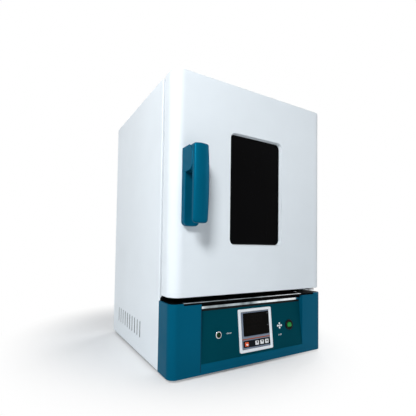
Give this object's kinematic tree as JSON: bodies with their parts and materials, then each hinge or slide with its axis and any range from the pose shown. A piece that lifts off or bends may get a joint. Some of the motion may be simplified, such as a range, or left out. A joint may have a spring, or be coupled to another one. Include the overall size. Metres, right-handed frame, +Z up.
{
  "type": "benchtop laboratory drying oven",
  "caption": "Benchtop forced-air laboratory drying oven: hinged door with a dark window and lever handle over a teal control console.",
  "frame": {"origin": "on the table, under the middle of the bounding box", "axes": "+Z up, the door and console face -Y, the door hinges are on the +X side"},
  "size_m": [0.43, 0.434, 0.63],
  "materials": {
    "white_paint": "satin powder coat",
    "teal_paint": "satin powder coat",
    "panel_teal": "satin print film on sheet steel",
    "teal_plastic": "satin moulded plastic",
    "black_paint": "satin",
    "stainless": "brushed",
    "polished_strip": "polished",
    "zinc_plate": "zinc plated",
    "steel_pin": "turned",
    "brass_bush": "turned",
    "magnet_black": "potted magnet",
    "silicone_white": "moulded silicone",
    "rubber_black": "moulded",
    "mineral_wool": "fibrous mat",
    "dark_glass": "tinted, polished",
    "heater_steel": "heat tinted",
    "motor_steel": "painted",
    "fan_aluminium": "pressed",
    "bezel_silver": "silver lacquer",
    "housing_grey": "moulded",
    "display_black": "clear window over a dark display",
    "keypad_black": "satin film",
    "key_white": "moulded",
    "key_orange": "moulded",
    "black_plastic": "moulded",
    "button_black": "moulded",
    "green_lens": "translucent moulded",
    "circuit_green": "solder mask"
  },
  "bodies": {
    "cabinet": {"outer_shell": "white_paint", "rear_panel": "white_paint", "front_frame": "white_paint", "base_plate": "zinc_plate", "compartment_floor": "zinc_plate", "motor_bracket": "zinc_plate", "chamber_liner": "stainless", "rear_baffle": "stainless", "shelf_rack_left": "stainless", "shelf_rack_right": "stainless", "chamber_insulation": "mineral_wool", "door_gasket": "silicone_white", "heater_elements": "heater_steel", "temperature_probe": "steel_pin", "fan_motor": "motor_steel", "vent_pipe": "stainless", "strike_plates": "zinc_plate", "hinge_lower_bracket": "zinc_plate", "hinge_upper_bracket": "zinc_plate", "hinge_pins": "steel_pin", "console_left_corner": "teal_paint", "console_right_corner": "teal_paint", "console_sill": "teal_paint", "console_deck": "black_paint", "deck_edge_strip": "polished_strip", "control_panel": "panel_teal", "panel_trim": "polished_strip", "controller_housing": "housing_grey", "controller_bezel": "bezel_silver", "controller_display": "display_black", "controller_keypad": "keypad_black", "power_button_ring": "steel_pin", "fan_switch_bezel": "black_plastic", "feet": "rubber_black", "power_inlet": "black_plastic", "cabinet_screws": "steel_pin", "circuit_board": "circuit_green", "heater_relay": "motor_steel"},
    "door": {"door_shell": "white_paint", "door_inner_pan": "stainless", "door_insulation": "mineral_wool", "window_outer_glass": "dark_glass", "window_inner_glass": "dark_glass", "window_frame": "stainless", "catch_magnets": "magnet_black", "hinge_bushes": "brass_bush", "handle_base": "teal_plastic", "handle_pivot_pin": "steel_pin"},
    "handle": {"handle_grip": "teal_plastic"},
    "ejector": {"push_rod": "steel_pin"},
    "circulation_fan": {"fan_impeller": "fan_aluminium"},
    "vent_damper": {"vent_cap": "black_plastic"},
    "upper_shelf": {"shelf_upper": "stainless"},
    "lower_shelf": {"shelf_lower": "stainless"},
    "set_key": {"key_set": "key_orange"},
    "shift_key": {"key_shift": "key_white"},
    "down_key": {"key_down": "key_white"},
    "up_key": {"key_up": "key_white"},
    "power_switch": {"power_button": "button_black"},
    "fan_switch": {"fan_switch_rocker": "green_lens"}
  },
  "joints": [
    {"name": "door_swing", "type": "hinge", "parent": "cabinet", "child": "door", "pos_m": [0.2, -0.1445, 0.3], "axis": [0, 0, 1], "range_deg": [0, 105]},
    {"name": "handle_pull", "type": "hinge", "parent": "door", "child": "handle", "pos_m": [-0.1785, -0.183, 0.432], "axis": [-1, 0, 0], "range_deg": [0, 15], "stiffness_Nm_per_rad": 0.6},
    {"name": "ejector_push", "type": "slide", "parent": "door", "child": "ejector", "axis": [0, 1, 0], "range_m": [0, 0.0036]},
    {"name": "fan_spin", "type": "hinge", "parent": "cabinet", "child": "circulation_fan", "pos_m": [0, 0, 0.382], "axis": [0, 1, 0], "continuous": true},
    {"name": "vent_turn", "type": "hinge", "parent": "cabinet", "child": "vent_damper", "pos_m": [0, 0.0385, 0.62], "axis": [0, 0, 1], "range_deg": [0, 90]},
    {"name": "upper_shelf_slide", "type": "slide", "parent": "cabinet", "child": "upper_shelf", "axis": [0, -1, 0], "range_m": [0, 0.028]},
    {"name": "lower_shelf_slide", "type": "slide", "parent": "cabinet", "child": "lower_shelf", "axis": [0, -1, 0], "range_m": [0, 0.028]},
    {"name": "set_key_press", "type": "slide", "parent": "cabinet", "child": "set_key", "axis": [0, 0.995, -0.1002], "range_m": [0, 0.0007], "stiffness_N_per_m": 250},
    {"name": "shift_key_press", "type": "slide", "parent": "cabinet", "child": "shift_key", "axis": [0, 0.995, -0.1002], "range_m": [0, 0.0007], "stiffness_N_per_m": 250},
    {"name": "down_key_press", "type": "slide", "parent": "cabinet", "child": "down_key", "axis": [0, 0.995, -0.1002], "range_m": [0, 0.0007], "stiffness_N_per_m": 250},
    {"name": "up_key_press", "type": "slide", "parent": "cabinet", "child": "up_key", "axis": [0, 0.995, -0.1002], "range_m": [0, 0.0007], "stiffness_N_per_m": 250},
    {"name": "power_press", "type": "slide", "parent": "cabinet", "child": "power_switch", "axis": [0, 0.995, -0.1002], "range_m": [0, 0.002], "stiffness_N_per_m": 300},
    {"name": "fan_switch_rock", "type": "hinge", "parent": "cabinet", "child": "fan_switch", "pos_m": [0.1046, -0.15791, 0.07645], "axis": [1, 0, 0], "range_deg": [0, 16]}
  ],
  "couplings": [
    {"joint": "ejector_push", "follows": "handle_pull", "m_per_rad": 0.0133}
  ]
}
